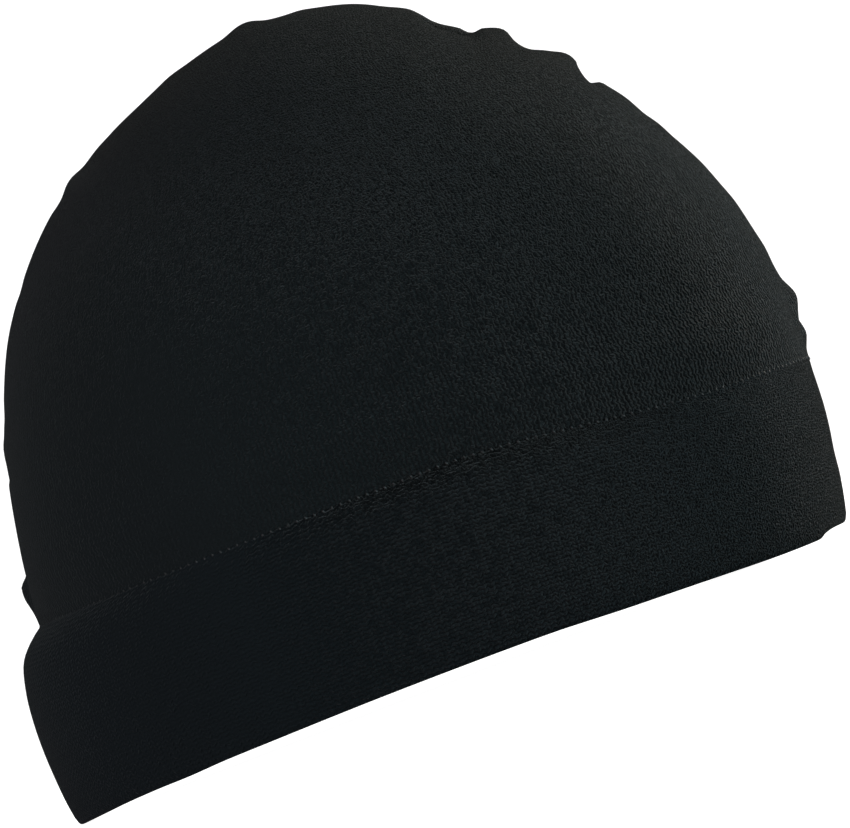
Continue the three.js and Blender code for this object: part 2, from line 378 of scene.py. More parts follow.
@dataclass(frozen=True)
class CrownSkin:
    """The smooth skin of half the crown, which its two panels follow.

    Attributes:
        form: The cap's form.
        samples: Points worked out along each cross-section.
        step: Distance ahead and behind that the centre seam's direction is taken from, mm.
    """

    form: CapForm
    samples: int = 240
    step: float = 0.5

    def foot_angle(self, along: np.ndarray, top: np.ndarray, length: float) -> np.ndarray:
        """Angle of the band seam's point that a centre seam point is joined to.

        Args:
            along: Distances along the centre seam.
            top: The seam's points there, X and Z.
            length: The seam's whole length.

        Returns:
            The angles from the forehead, in radians.
        """
        form = self.form
        end = form.band_top
        across = (end.front - top[:, 0]) / (end.front - end.back)
        foot = form.seam_height_front + (form.seam_height_back - form.seam_height_front) * across
        ahead = top[:, 0] >= form.widest_x
        reach = np.where(ahead, end.front - form.widest_x, form.widest_x - end.back)
        rise = (top[:, 1] - foot) / (form.crown_top - form.seam_height_side)
        angle = np.arctan2(rise, (top[:, 0] - form.widest_x) / reach)
        angle = np.where(along <= TINY, 0.0, angle)
        return np.where(along >= length - TINY, math.pi, angle)

    def sections(self, along: np.ndarray) -> tuple[np.ndarray, np.ndarray, np.ndarray]:
        """Cross-sections from the centre seam down to the band seam.

        Args:
            along: Distances along the centre seam, one for each section.

        Returns:
            The sections' points with Y as the distance from the middle plane, the distance run
            along each of them, and the outward direction of the seam at each.
        """
        form = self.form
        line, run = form.centre_seam()
        top = read_at(along, run, line)
        tangent = unit(read_at(along + self.step, run, line) - read_at(along - self.step, run, line))
        out = np.stack([tangent[:, 1], np.zeros(len(along)), -tangent[:, 0]], axis=1)

        foot_plan = form.top_oval(self.foot_angle(along, top, run[-1]))
        foot_z = form.seam_height(foot_plan[:, 0])
        turn = math.pi / 2.0 * (1.0 - np.linspace(0.0, 1.0, self.samples))
        sine = np.sin(turn)
        x = foot_plan[:, :1] + (top[:, :1] - foot_plan[:, :1]) * sine**2
        y = foot_plan[:, 1:] * super_power(np.cos(turn).clip(0.0), form.crown_round)
        z = foot_z[:, None] + (top[:, 1:] - foot_z[:, None]) * super_power(sine, form.crown_round)
        points = np.stack([x, y, z], axis=-1)
        steps = np.linalg.norm(np.diff(points, axis=1), axis=2)
        run_down = np.concatenate([np.zeros((len(along), 1)), np.cumsum(steps, axis=1)], axis=1)
        return points, run_down, out


@dataclass(frozen=True)
class KnitLay:
    """How the crown's cloth lies: the place of each point of the crown in the flat knit.

    The wales stand square on the band seam. Up the crown they draw together, and near the top they
    run straight across to the centre seam.

    Attributes:
        form: The cap's form.
        middle_x: The wale that stays upright, seen from the side.
        top_draw: How close the wales are at the top, as a share of their spacing at the band.
        crossing: Shares of the crown's height between which wales and courses turn to the top's lay.
        steps: Steps along each arc that is measured.
        side_steps: Points along the measured profile of the crown's side.
        narrowest: Share of the crown's height from which its ovals get no smaller.
    """

    form: CapForm
    middle_x: float = 12.0
    top_draw: float = 0.6
    crossing: tuple[float, float] = (0.6, 0.97)
    steps: int = 24
    side_steps: int = 400
    narrowest: float = 0.999

    def arc_from_side(
        self, x: np.ndarray, y: np.ndarray, z: np.ndarray, rise: np.ndarray
    ) -> np.ndarray:
        """Distance round the crown at one height, from its widest place forwards.

        Args:
            x: X of each point.
            y: Its distance from the middle plane.
            z: Its height.
            rise: Its share of the crown's height.

        Returns:
            The distance, less than 0 behind the widest place.
        """
        form = self.form
        line, _ = form.centre_seam()
        summit = int(line[:, 1].argmax())
        front_x = np.interp(z, line[: summit + 1, 1], line[: summit + 1, 0])
        back_x = np.interp(z, line[summit:, 1][::-1], line[summit:, 0][::-1])
        widest = form.widest_x + (line[summit, 0] - form.widest_x) * rise
        power = form.crown_round
        narrowed = (1.0 - rise.clip(0.0, self.narrowest) ** power) ** (1.0 / power)
        half_width = form.band_top.side * narrowed
        ahead = x >= widest
        half_length = np.where(ahead, front_x - widest, widest - back_x).clip(1.0)
        flatten = form.oval_round / 2.0
        angle = np.arctan2((y / half_width) ** flatten, (np.abs(x - widest) / half_length) ** flatten)
        share = np.linspace(0.0, 1.0, self.steps + 1)
        turn = math.pi / 2.0 + (angle[..., None] - math.pi / 2.0) * share
        arc_x = half_length[..., None] * super_power(np.cos(turn).clip(0.0), form.oval_round)
        arc_y = half_width[..., None] * super_power(np.sin(turn), form.oval_round)
        arc = np.hypot(np.diff(arc_x, axis=-1), np.diff(arc_y, axis=-1)).sum(axis=-1)
        return np.where(ahead, arc, -arc) - (self.middle_x - widest)

    def height_along(self, rise: np.ndarray) -> np.ndarray:
        """Length of cloth up the crown's side.

        Args:
            rise: Share of the crown's height that it reaches.

        Returns:
            The length from the band seam, mm.
        """
        form = self.form
        turn = np.linspace(0.0, math.pi / 2.0, self.side_steps)
        up = super_power(np.sin(turn), form.crown_round)
        profile = np.stack([
            form.band_top.side * super_power(np.cos(turn).clip(0.0), form.crown_round),
            (form.crown_top - form.seam_height_side) * up,
        ], axis=1)
        return np.interp(rise, up, run_along(profile))

    def place(self, points: np.ndarray) -> np.ndarray:
        """Place in the flat knit of points of the crown's skin.

        Args:
            points: The points, with Y as the distance from the middle plane.

        Returns:
            Two numbers for each point: mm across the wales, and mm up them from the band seam.
        """
        form = self.form
        x, y, z = points[..., 0], points[..., 1], points[..., 2]
        foot = form.seam_height(x)
        line, _ = form.centre_seam()
        summit = line[:, 1].max()
        rise = ((z - foot) / (summit - foot)).clip(0.0, 1.0)
        power = form.crown_round
        spread = ((y / form.band_top.side) ** power + rise**power).clip(TINY) ** (1.0 / power)
        turned = ramp(rise, *self.crossing)
        up = self.height_along(rise) * (1.0 - turned)
        up += self.height_along((rise / spread).clip(0.0, 1.0)) * turned
        latitude = np.arcsin(rise ** (power / 2.0))
        draw = (np.cos(latitude) ** 4 + (self.top_draw * np.sin(latitude)) ** 4) ** 0.25
        round_arc = self.arc_from_side(x, y, z, rise)
        across = round_arc * (1.0 - turned) + (x - self.middle_x) * turned
        return np.stack([across / draw, up], axis=-1)


def new_grid(
    mesh: bmesh.types.BMesh, rows: int, columns: int
) -> dict[bmesh.types.BMVert, tuple[int, int]]:
    """Adds a grid of points to a mesh.

    Args:
        mesh: The mesh.
        rows: How many rows of points.
        columns: How many points in a row.

    Returns:
        The row and the column of each new point.
    """
    made = bmesh.ops.create_grid(mesh, x_segments=columns - 1, y_segments=rows - 1, size=0.5)
    cells = {}
    for vert in made["verts"]:
        row = round((vert.co.y + 0.5) * (rows - 1))
        column = round((vert.co.x + 0.5) * (columns - 1))
        cells[vert] = (row, column)
    return cells


def stands_at(point: np.ndarray) -> Vector:
    """Where a point of the cap, in mm, is in the scene, in metres."""
    return (Vector(point) + Vector((0.0, 0.0, RAISED))) * MM


def close_up(mesh: bmesh.types.BMesh, distance: float) -> None:
    """Merges points that meet, turns the faces outwards and smooths them.

    Args:
        mesh: The mesh.
        distance: How near the points are that become one, mm.
    """
    bmesh.ops.remove_doubles(mesh, verts=mesh.verts, dist=distance * MM)
    bmesh.ops.recalc_face_normals(mesh, faces=mesh.faces)
    for face in mesh.faces:
        face.smooth = True


def new_object(name: str, mesh: bmesh.types.BMesh) -> bpy.types.Object:
    """Puts a finished mesh into the scene as an object.

    Args:
        name: Name of the object.
        mesh: The mesh, which is freed.

    Returns:
        The object.
    """
    data = bpy.data.meshes.new(name)
    mesh.to_mesh(data)
    mesh.free()
    made = bpy.data.objects.new(name, data)
    bpy.context.scene.collection.objects.link(made)
    return made


def cloth_piece(
    name: str, points: np.ndarray, flat: np.ndarray, seam_shade_depth: np.ndarray
) -> bpy.types.Object:
    """Makes a piece of cloth from a grid that is moved to its points.

    Args:
        name: Name of the piece.
        points: The grid's points in mm, rows along the first axis.
        flat: The same points' places in the flat cloth, in mm.
        seam_shade_depth: How deep in a seam each point lies, from 0 to 1.

    Returns:
        The piece, one surface with no thickness, its faces pointing out.
    """
    mesh = bmesh.new()
    uv = mesh.loops.layers.uv.new(KNIT_UV)
    # Each point's seam depth, which the finish turns into painted shade.
    depth = mesh.verts.layers.float.new(SEAM_SHADE_DEPTH)
    cell = new_grid(mesh, *points.shape[:2])
    for face in mesh.faces:
        for loop in face.loops:
            loop[uv].uv = flat[cell[loop.vert]] / UV_SPAN + 0.5
    for vert, place in cell.items():
        vert.co = stands_at(points[place])
        vert[depth] = seam_shade_depth[place]
    close_up(mesh, MERGE)
    # A sheet has no inside of its own, so its faces may all have come to point into the cap.
    outward = 0.0
    for face in mesh.faces:
        outward += face.normal.dot(face.calc_center_median() - HOLLOW) * face.calc_area()
    if outward < 0.0:
        bmesh.ops.reverse_faces(mesh, faces=mesh.faces)
    return new_object(name, mesh)


def thicken(piece: bpy.types.Object, thickness: float, offset: float) -> None:
    """Gives a surface its thickness with a Solidify modifier.

    Args:
        piece: The surface.
        thickness: In mm.
        offset: -1 to grow inwards from the surface, 0 to grow both ways.
    """
    solidify = piece.modifiers.new("thickness", "SOLIDIFY")
    solidify.thickness = thickness * MM
    solidify.offset = offset
    solidify.use_even_offset = False
    solidify.use_quality_normals = True


@dataclass
class ThreadRow:
    """Sewing thread that shows as a run of short stitches, each a tube with closed ends.

    Attributes:
        name: Name of the piece.
        radius: Half the thread's thickness, mm.
        sides: Flat sides round the thread.
        merge: Distance within which its points become one, mm.
        mesh: The mesh that the stitches are added to.
    """

    name: str
    radius: float
    sides: int = 6
    merge: float = 0.002
    mesh: bmesh.types.BMesh = field(default_factory=bmesh.new, init=False)

    def stitch(self, path: np.ndarray, normal: np.ndarray) -> None:
        """Adds a stitch.

        Args:
            path: The points that the thread's middle runs through, mm.
            normal: The cloth's outward direction at each of them.
        """
        tangent = unit(np.gradient(path, axis=0))
        aside = unit(np.cross(tangent, normal))
        up = np.cross(aside, tangent)
        thick = np.full(len(path), self.radius)
        thick[[0, -1]] = 0.0
        turn = np.linspace(0.0, 2.0 * math.pi, self.sides + 1)
        for vert, (row, column) in new_grid(self.mesh, len(path), self.sides + 1).items():
            angle = turn[column % self.sides]
            ring = math.cos(angle) * aside[row] + math.sin(angle) * up[row]
            vert.co = stands_at(path[row] + ring * thick[row])

    def finish(self) -> bpy.types.Object:
        """Closes the tubes and makes the piece."""
        close_up(self.mesh, self.merge)
        return new_object(self.name, self.mesh)


def spaced(line: np.ndarray, pitch: float, inset: float) -> np.ndarray:
    """Evenly spaced places along a line.

    Args:
        line: The line's points.
        pitch: About how far apart the places are, mm.
        inset: Distance of the first and last place from the line's ends.

    Returns:
        The places, as distances from the line's start.
    """
    length = run_along(line)[-1]
    count = max(2, round((length - 2.0 * inset) / pitch) + 1)
    return np.linspace(inset, length - inset, count)


@dataclass(frozen=True)
class SeamShade:
    """How deep the cloth lies in its seams, from 0 to 1, by which its finish paints shade into the
    cloth's colour.

    Attributes:
        reach: Distance from the centre seam that its shade goes, mm.
        step: How much further it goes for each mm that a panel stands above the other.
        ends: Distances from the centre seam's ends over which its shade begins.
        edge: Depth of the painted shade on the crown's edge along the band seam.
        edge_reach: How far up it goes, mm.
        ditch: Depth of the painted dark line of shade just above the band seam, from the widest place
            forwards.
        ditch_slack: How much deeper it is where the seam is slack.
        ditch_at: How far above the seam its middle is, mm.
        ditch_half: Half its width, mm.
        begins: X between which the shade along the band seam begins.
        slack_at: X of the middle of the slack place.
        slack_half: Half its length, mm.
        under: Depth of the shade on the band below the seam.
        under_back: Share of it that is left at the back.
        under_reach: How far down it goes, mm.
        brow: X between which it weakens towards the forehead.
        brow_less: Share of it that is lost there.
        join_half: Half the width of the shade where the band's ends are joined, mm.
    """

    reach: float = 0.95
    step: float = 0.4
    ends: tuple[float, float] = (2.0, 8.0)
    edge: float = 0.15
    edge_reach: float = 2.2
    ditch: float = 0.2
    ditch_slack: float = 0.45
    ditch_at: float = 0.9
    ditch_half: float = 0.6
    begins: tuple[float, float] = (-50.0, 0.0)
    slack_at: float = 14.0
    slack_half: float = 22.0
    under: float = 0.85
    under_back: float = 0.2
    under_reach: float = 5.6
    brow: tuple[float, float] = (50.0, 85.0)
    brow_less: float = 0.45
    join_half: float = 0.7

    def slack(self, x: np.ndarray | float) -> np.ndarray | float:
        """How slack the band seam is at X, from 0 to 1."""
        return bell(x, self.slack_at, self.slack_half)

    def crown(
        self,
        aside: np.ndarray,
        step: np.ndarray,
        from_end: np.ndarray,
        from_band: np.ndarray,
        x: np.ndarray,
    ) -> np.ndarray:
        """Shade of a crown panel.

        Args:
            aside: Distances from the centre seam, a row for each section.
            step: How far the panel stands above the other at each section.
            from_end: Each section's distance from the centre seam's nearer end.
            from_band: Distances from the band seam.
            x: X of the points.

        Returns:
            The shade at each point.
        """
        # Painted shade along the centre seam, in a dark line just above the band seam, and on the
        # crown's edge there.
        centre = bell(aside, 0.0, self.reach + self.step * step, 4.0) * ramp(from_end, *self.ends)
        line = self.ditch * ramp(x, *self.begins) + self.ditch_slack * self.slack(x)
        line = line * bell(from_band, self.ditch_at, self.ditch_half)
        edge = self.edge * bell(from_band, 0.0, self.edge_reach, 4.0)
        return np.maximum(centre, np.maximum(edge, line))

    def band(self, x: np.ndarray, below: np.ndarray, aside: np.ndarray) -> np.ndarray:
        """Shade of the band's outer face.

        Args:
            x: X of the points.
            below: Their distances below the band seam.
            aside: Distance from the join of the band's ends of each row of points.

        Returns:
            The shade at each point.
        """
        # Painted shade on the band under its seam, weaker at the back and at the forehead, and where
        # its ends are joined.
        share = self.under_back + (1.0 - self.under_back) * ramp(x, *self.begins)
        share = self.under * share * (1.0 - self.brow_less * ramp(x, *self.brow))
        join = bell(aside, 0.0, self.join_half)[:, None]
        return np.maximum(share * bell(below, 0.0, self.under_reach, 3.0), join)


@dataclass
class CrownPanel:
    """One of the two crown panels, with its rolled edge, turned-in allowance and seam stitches.

    Attributes:
        form: The cap's form.
        side: Which panel it is.
        shade: The painted shade in its seams.
        stations: Rows of points along the centre seam.
        roll_rows: Points over the rolled edge.
        roll_growth: Exponent by which they lie further apart away from the seam.
        panel_rows: Points from the roll down to the last ones.
        row_pull: How much closer together they lie near both ends, from 0 to 1.
        edge_rows: The last points, which carry the band seam's shade, as shares of edge_reach.
        edge_reach: Height above the band seam that they cover, mm.
        allowance_rows: Points up the turned-in cloth.
        full_section: Length that a section needs for a whole roll and a whole edge_reach, mm.
        roll_reach: Width of the rolled edge.
        roll_depth: How far the panels roll in at the seam.
        roll_ramp: Distances from the centre seam's ends over which the roll grows.
        step_reach: How far down a panel is drawn in where it stands above the other, mm.
        allowance: Length of the turned-in cloth.
        allowance_ramp: Distances from the centre seam's ends over which it grows.
        band_hold: Distances above the band seam over which the puckers may grow.
        fullness: How far the crown blouses out just above the band seam.
        fullness_at: How far above it.
        fullness_ramp: Section lengths over which it grows.
        ease: How far the cloth lies in from the plain skin behind the top.
        ease_ramp: Distances along the centre seam over which that grows.
        stitch_room: Length that a section needs to hold a stitch, mm.
        stitch_pitch: Distance between stitches, mm.
        stitch_inset: Distance of the first and last one from the row's ends, mm.
        stitch_length: Their length, mm, and their shortest and longest as shares of it.
        stitch_lean: How far they lean, mm, and their least and greatest lean as shares of it.
        stitch_radius: Half their thread's thickness, mm.
        stitch_height: Height of their middles above the band seam, mm.
        stitch_arch: How far the thread stands out along a stitch, mm.
        stitch_depth: How deep they lie in the cloth, mm.
        stitch_slack: How much less deep they lie where the seam is slack, mm.
        stitch_sunk: Where they lie deeper: the X where it begins, the X where it ends, and mm.
        stitch_chance: How much deeper or less deep one may lie by chance, mm.
        seed: Seed of the chances, which the side is added to.
        flat_size: Width and length of the cloth that a panel is cut from, in metres.
        flat_area: Its cut area in square metres.
        piece: The panel, once it is built.
        stitches: Its stitches, once they are made.
    """

    form: CapForm
    side: Side
    shade: SeamShade = SeamShade()
    stations: int = 330
    roll_rows: int = 10
    roll_growth: float = 1.3
    panel_rows: int = 84
    row_pull: float = 0.35
    edge_rows: tuple[float, ...] = (0.8, 0.62, 0.47, 0.34, 0.2, 0.03, 0.0)
    edge_reach: float = 2.2
    allowance_rows: int = 4
    full_section: float = 25.0
    roll_reach: float = 2.8
    roll_depth: float = 1.5
    roll_ramp: tuple[float, float] = (3.0, 13.0)
    step_reach: float = 5.0
    allowance: float = 4.5
    allowance_ramp: tuple[float, float] = (9.0, 18.0)
    band_hold: tuple[float, float] = (0.0, 8.0)
    fullness: float = 0.9
    fullness_at: float = 11.0
    fullness_ramp: tuple[float, float] = (20.0, 70.0)
    ease: float = 0.27
    ease_ramp: tuple[float, float] = (140.0, 185.0)
    stitch_room: float = 1.5
    stitch_pitch: float = 2.2
    stitch_inset: float = 0.6
    stitch_length: tuple[float, float, float] = (1.05, 0.85, 1.15)
    stitch_lean: tuple[float, float, float] = (0.3, 0.5, 1.5)
    stitch_radius: float = 0.28
    stitch_height: float = -0.25
    stitch_arch: tuple[float, ...] = (-0.3, 0.06, 0.16, 0.16, 0.06, -0.3)
    stitch_depth: float = 0.17
    stitch_slack: float = 0.18
    stitch_sunk: tuple[tuple[float, float, float], ...] = ((50.0, 80.0, 0.13), (-15.0, -40.0, 0.1))
    stitch_chance: float = 0.07
    seed: int = 7
    flat_size: tuple[float, float] = (0.29, 0.165)
    flat_area: float = 0.036
    piece: bpy.types.Object | None = field(default=None, init=False)
    stitches: bpy.types.Object | None = field(default=None, init=False)

    @property
    def node(self) -> str:
        """Name of the CAD node that the panel stands for."""
        return f"crown_{self.side.name.lower()}"

    def stands_out(self, along: np.ndarray, aside: np.ndarray, length: np.ndarray) -> np.ndarray:
        """How far the cloth stands out from the plain skin.

        Args:
            along: Distances along the centre seam, one for each section.
            aside: Distances from the seam, a row for each section.
            length: The sections' lengths.

        Returns:
            The distances, mm.
        """
        from_band = (length[:, None] - aside).clip(0.0)
        held = ramp(from_band, *self.band_hold)
        swell = np.sin(math.pi * np.minimum(from_band / (2.0 * self.fullness_at), 1.0)) ** 2
        full = self.fullness * swell * ramp(length, *self.fullness_ramp)[:, None]
        ease = self.ease * ramp(along, *self.ease_ramp)[:, None]
        return (self.form.puckered(along, aside, self.side) - ease) * held + full

    def asides(self, length: np.ndarray) -> tuple[np.ndarray, np.ndarray]:
        """Where the points of each section lie.

        Args:
            length: The sections' lengths, one row each.

        Returns:
            The points' distances from the centre seam, and where the roll ends.
        """
        scale = np.minimum(1.0, length / self.full_section)
        roll_end = self.roll_reach * scale
        edge = self.edge_reach * scale
        rolled = roll_end * np.linspace(0.0, 1.0, self.roll_rows + 1) ** self.roll_growth
        share = np.linspace(0.0, 1.0, self.panel_rows + 1)[1:]
        share = share - self.row_pull * np.sin(2.0 * math.pi * share) / (2.0 * math.pi)
        down = roll_end + (length - edge - roll_end) * share
        last = length - edge * np.array(self.edge_rows)
        return np.concatenate([rolled, down, last], axis=1), roll_end

    def grid(self) -> tuple[np.ndarray, np.ndarray, np.ndarray]:
        """The panel's allowance and outer face as a grid.

        Returns:
            The grid's points, their places in the flat knit, and how deep in a seam each lies.
        """
        form = self.form
        _, run = form.centre_seam()
        along = np.linspace(0.0, run[-1], self.stations)
        sections, runs, out = CrownSkin(form).sections(along)
        length = runs[:, -1]
        aside, roll_end = self.asides(length[:, None])
        base = np.stack([read_at(*section) for section in zip(aside, runs, sections)])
        normal = np.cross(np.gradient(base, axis=1), np.gradient(base, axis=0))
        size = np.linalg.norm(normal, axis=2, keepdims=True)
        normal = np.where(size > TINY, normal / size.clip(TINY), out[:, None, :])
        inverted = (normal * out[:, None, :]).sum(axis=2) < -0.5
        normal *= np.where(inverted, -1.0, 1.0)[..., None]
        normal[:, 0] = out

        from_end = np.minimum(along, run[-1] - along)
        seam = np.zeros((len(along), 1))
        own = form.puckered(along, seam, self.side)
        other = form.puckered(along, seam, Side(-self.side.value))
        above_other = (own - other).clip(0.0)
        rolled_in = self.roll_depth * ramp(from_end, *self.roll_ramp)[:, None]
        drop = rolled_in * (1.0 - (aside / roll_end.clip(TINY)).clip(0.0, 1.0)) ** 4
        drop = drop + above_other * (1.0 - (aside / self.step_reach).clip(0.0, 1.0)) ** 2
        face = base + normal * (self.stands_out(along, aside, length) - drop)[..., None]

        turned_in = form.cloth + self.allowance * ramp(from_end, *self.allowance_ramp)
        inward = turned_in[:, None] * np.linspace(1.0, 0.0, self.allowance_rows + 1)[:-1]
        turned = face[:, :1] - out[:, None, :] * inward[..., None]
        points = np.concatenate([turned, face], axis=1)
        points[..., 1] *= self.side.value

        flat = KnitLay(form).place(base)
        hidden = flat[:, :1] + np.stack([np.zeros_like(inward), inward], axis=-1)
        from_band = length[:, None] - aside
        # Painted seam shade, which covers all of the hidden turned-in allowance.
        shade = self.shade.crown(aside, above_other, from_end[:, None], from_band, base[..., 0])
        seam_shade_depth = np.concatenate([np.ones_like(inward), shade], axis=1)
        return points, np.concatenate([hidden, flat], axis=1), seam_shade_depth

    def build(self) -> bpy.types.Object:
        """Builds the panel and its stitches.

        Returns:
            The panel.
        """
        points, flat, seam_shade_depth = self.grid()
        self.piece = cloth_piece(f"{self.node}_cloth", points, flat, seam_shade_depth)
        thicken(self.piece, self.form.cloth, -1.0)
        self.stitches = self.seam_stitches(points[:, self.allowance_rows:])
        return self.piece

    def seam_stitches(self, face: np.ndarray) -> bpy.types.Object:
        """Makes the stitches that bridge the band seam.

        Args:
            face: The panel's outer face, from the centre seam down to the band seam.

        Returns:
            The stitches.
        """
        line = []
        upwards = []
        for down in face:
            reach = run_along(down)[-1]
            if reach >= self.stitch_room:
                above, edge = along_line(down, reach - np.array([1.0, 0.0]))
                line.append(edge)
                upwards.append(above - edge)
        line = np.array(line)
        upwards = unit(np.array(upwards))
        outward = unit(np.cross(upwards, np.gradient(line, axis=0)))
        outward *= np.where(outward[:, 1:2] * self.side.value < 0.0, -1.0, 1.0)
        run = run_along(line)
        rise = np.linspace(-0.5, 0.5, len(self.stitch_arch))
        middle = len(rise) // 2
        chance = random.Random(self.seed + self.side.value)
        row = ThreadRow(f"{self.node}_stitches", radius=self.stitch_radius)
        for place in spaced(line, self.stitch_pitch, self.stitch_inset):
            length = self.stitch_length[0] * chance.uniform(*self.stitch_length[1:])
            lean = self.stitch_lean[0] * chance.uniform(*self.stitch_lean[1:])
            spots = place + rise * lean
            path = read_at(spots, run, line)
            path += read_at(spots, run, upwards) * (rise * length + self.stitch_height)[:, None]
            x = float(path[middle, 0])
            depth = self.stitch_depth - self.stitch_slack * self.shade.slack(x)
            depth += sum(deeper * ramp(x, begins, ends) for begins, ends, deeper in self.stitch_sunk)
            depth -= chance.uniform(-self.stitch_chance, self.stitch_chance)
            normal = read_at(spots, run, outward)
            row.stitch(path + normal * (np.array(self.stitch_arch) - depth)[:, None], normal)
        return row.finish()

    def dress(self, cloth: bpy.types.Material, thread: bpy.types.Material) -> None:
        """Gives the panel its cloth and thread, hangs them on the cap's body and hides the imported
        part that it stands for.

        Args:
            cloth: Finish of the cloth.
            thread: Finish of the stitches.
        """
        self.piece.data.materials.append(cloth)
        self.stitches.data.materials.append(thread)
        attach(self.stitches, "root")
        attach(self.piece, "root")
        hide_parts(self.node)


@dataclass
class Band:
    """The broad band: one strip of cloth folded double at the hem, its two edges sewn to the crown.

    Attributes:
        form: The cap's form.
        shade: The painted shade in its seams.
        columns: Points round the cap.
        face_rows: Rows of points up each of the two faces.
        row_pull: How much closer together they lie near both ends, from 0 to 1.
        under_seam: Share of the band's height from the seam down to the row just under it.
        fold_rows: Rows round the fold.
        fold_room: Height above the fold from which the faces' rows begin, mm.
        cloth: Thickness of one layer.
        between: Distance between the middles of the two layers.
        seam_gap: Gap below the seam, less than 0 where the band reaches up into it.
        tuck_depth: How far the top dips into the seam.
        tuck_reach: How far below the seam it starts to dip.
        inner_end: Distance below the seam where the inner face's rows end, mm.
        lift_curve: Exponent of how the hem's rise fades out up the band.
        join_depth: Depth of the groove where the strip's ends are joined, at the back.
        join_half: Half its width.
        join_fade: Share of its depth at the last rows before the fold.
        allowance_rows: Height above the seam and depth behind the crown's face of the allowance's rows.
        allowance_gap: Gap between the two layers of allowance, mm.
        allowance_lean: How far the allowance leans in at the back for each mm of height.
        edge_pitch: Length of the edge that one loop of overlocking takes, mm.
        edge_radius: Half its thread's thickness, mm.
        samples: Points worked out along the hem's line, up the face's profile and round the edge.
        flat_size: Length and width of the strip, in metres.
        piece: The band, once it is built.
        edge_threads: Its overlocking, once it is made.
    """

    form: CapForm
    shade: SeamShade = SeamShade()
    columns: int = 420
    face_rows: int = 34
    row_pull: float = 0.5
    under_seam: float = 0.004
    fold_rows: int = 8
    fold_room: float = 0.3
    cloth: float = 1.1
    between: float = 1.2
    seam_gap: float = -0.1
    tuck_depth: float = 0.12
    tuck_reach: float = 1.6
    inner_end: float = 1.5
    lift_curve: float = 1.5
    join_depth: float = 0.45
    join_half: float = 1.1
    join_fade: tuple[float, ...] = (0.7, 0.4, 0.15)
    allowance_rows: tuple[tuple[float, float], ...] = (
        (4.6, 1.9),
        (3.6, 1.9),
        (2.6, 1.95),
        (1.6, 2.1),
        (0.8, 2.2),
        (0.2, 2.0),
        (-0.2, 1.5),
    )
    allowance_gap: float = 0.05
    allowance_lean: float = 0.2
    edge_pitch: float = 2.6
    edge_radius: float = 0.16
    samples: tuple[int, int, int] = (600, 200, 1441)
    flat_size: tuple[float, float] = (0.559, 0.104)
    piece: bpy.types.Object | None = field(default=None, init=False)
    edge_threads: bpy.types.Object | None = field(default=None, init=False)

    def lift(self, x: np.ndarray) -> np.ndarray:
        """How far up the hem moves, at X, from where the raised cap would have it."""
        line = spline(np.array(self.form.hem_line), self.samples[0])
        return np.interp(x, line[:, 0], line[:, 1]) - RAISED

    def top_height(self, angle: np.ndarray) -> np.ndarray:
        """Height of the band's top by the angle from the forehead."""
        return self.form.seam_height(self.form.top_oval(angle)[:, 0]) - self.seam_gap

    def outer_face(self, angle: np.ndarray, share: np.ndarray) -> np.ndarray:
        """Points of the outer face.

        Args:
            angle: Angles from the forehead.
            share: Shares of the band's height.

        Returns:
            A grid of points, angles along the first axis.
        """
        levels = [[level.share, level.front, level.side, level.back] for level in self.form.band_levels]
        table = spline(np.array(levels), self.samples[1])
        height = self.top_height(angle)
        grid = np.empty((len(angle), len(share), 3))
        for j, level in enumerate(share):
            front, side, back = read_at(level, table[:, 0], table[:, 1:])
            grid[:, j, :2] = self.form.oval(front, side, back, angle)
            grid[:, j, 2] = height * level
        return grid

    def outwards(self, angle: np.ndarray) -> np.ndarray:
        """Level directions square to the band seam.

        Args:
            angle: Angles from the forehead.

        Returns:
            The outward direction at each.
        """
        tiny = 1e-3
        along = self.form.top_oval(angle + tiny) - self.form.top_oval(angle - tiny)
        return unit(np.stack([along[:, 1], -along[:, 0], np.zeros(len(angle))], axis=1))

    def inside_crown(
        self, angle: np.ndarray, up: float | np.ndarray, back: float | np.ndarray
    ) -> np.ndarray:
        """Points that lie behind the crown's lower edge.

        Args:
            angle: Angles from the forehead.
            up: Height above the band seam, mm.
            back: Distance behind the crown's outer face, mm.

        Returns:
            A point for each angle.
        """
        plan_xy = self.form.top_oval(angle)
        lean = self.allowance_lean * np.cos(angle).clip(-1.0, 0.0) ** 2
        point = np.concatenate([plan_xy, self.form.seam_height(plan_xy[:, :1])], axis=1)
        point -= self.outwards(angle) * np.reshape(back + lean * up, (-1, 1))
        point[:, 2] += up
        return point

    def layers(
        self, angle: np.ndarray, plan: np.ndarray
    ) -> tuple[np.ndarray, np.ndarray, np.ndarray, np.ndarray]:
        """The middles of the band's layers of cloth.

        Args:
            angle: Angles from the forehead.
            plan: Level outward directions there.

        Returns:
            The outer layer from the top down, the fold, the inner layer from the bottom up, and how far
            each point of the outer one is below the seam.
        """
        share = np.linspace(1.0, 0.0, self.face_rows)
        share = share - self.row_pull * np.sin(2.0 * math.pi * share) / (2.0 * math.pi)
        share = np.insert(share, 1, 1.0 - self.under_seam)
        face = self.outer_face(angle, share)
        rise = np.gradient(face, axis=1)
        slope = np.arctan2((rise * plan[:, None, :]).sum(axis=2), rise[..., 2])
        slope = np.where(rise[..., 2] < 0.0, slope - math.pi, slope)
        normal = plan[:, None, :] * np.cos(slope)[..., None]
        normal[..., 2] -= np.sin(slope)

